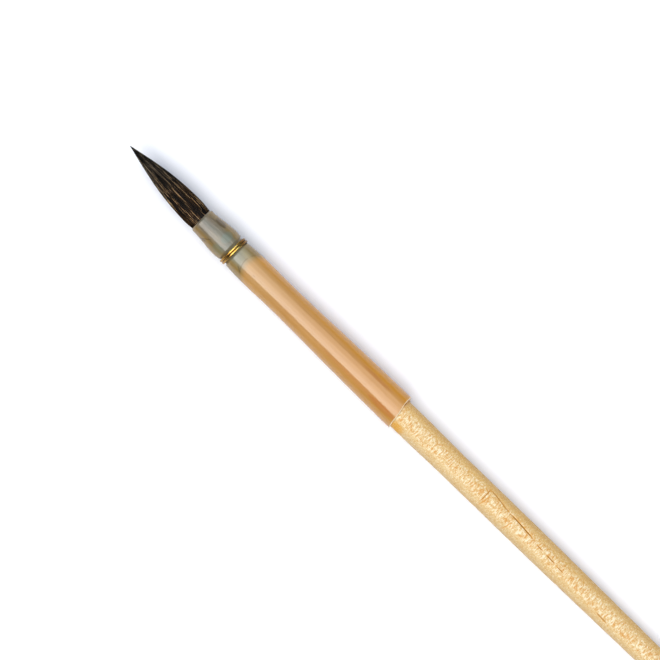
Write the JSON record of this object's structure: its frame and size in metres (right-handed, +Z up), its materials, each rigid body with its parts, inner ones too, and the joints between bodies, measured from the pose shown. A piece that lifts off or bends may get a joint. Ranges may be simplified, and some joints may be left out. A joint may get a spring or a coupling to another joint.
{
  "type": "quill brush",
  "caption": "Small pointed round brush: dark soft hair tuft in a natural feather-quill ferrule bound with brass wire, on a slim turned raw-wood handle, lying on its side.",
  "frame": {"origin": "under the middle of the brush's length, level with the lowest point of the quill's thick end, which the brush lies on", "axes": "+X along the brush towards the point of the hair, +Z up from the surface it lies on, +Y across it"},
  "size_m": [0.19, 0.0072, 0.0074],
  "materials": {
    "hair": "fine soft dark-brown squirrel hair with lighter tan strands",
    "thread": "waxed linen thread",
    "resin": "hard dark resin",
    "quill": "natural translucent feather quill, golden amber, smooth and semi-gloss",
    "brass_wire": "bright drawn brass wire",
    "raw_wood": "raw unvarnished pale hardwood with fine ray flecks",
    "amber_glue": "dried amber glue"
  },
  "bodies": {
    "brush": {"hair_roots": "hair", "root_thread": "thread", "root_resin": "resin", "quill_ferrule": "quill", "binding_wire": "brass_wire", "handle": "raw_wood", "handle_glue": "amber_glue"},
    "tuft": {"hair_tuft": "hair"}
  },
  "joints": [
    {"name": "tuft_bend", "type": "hinge", "parent": "brush", "child": "tuft", "pos_m": [0.075, 0, 0.00362], "axis": [0, 0, 1], "range_deg": [-35, 35], "stiffness_Nm_per_rad": 0.0004}
  ]
}
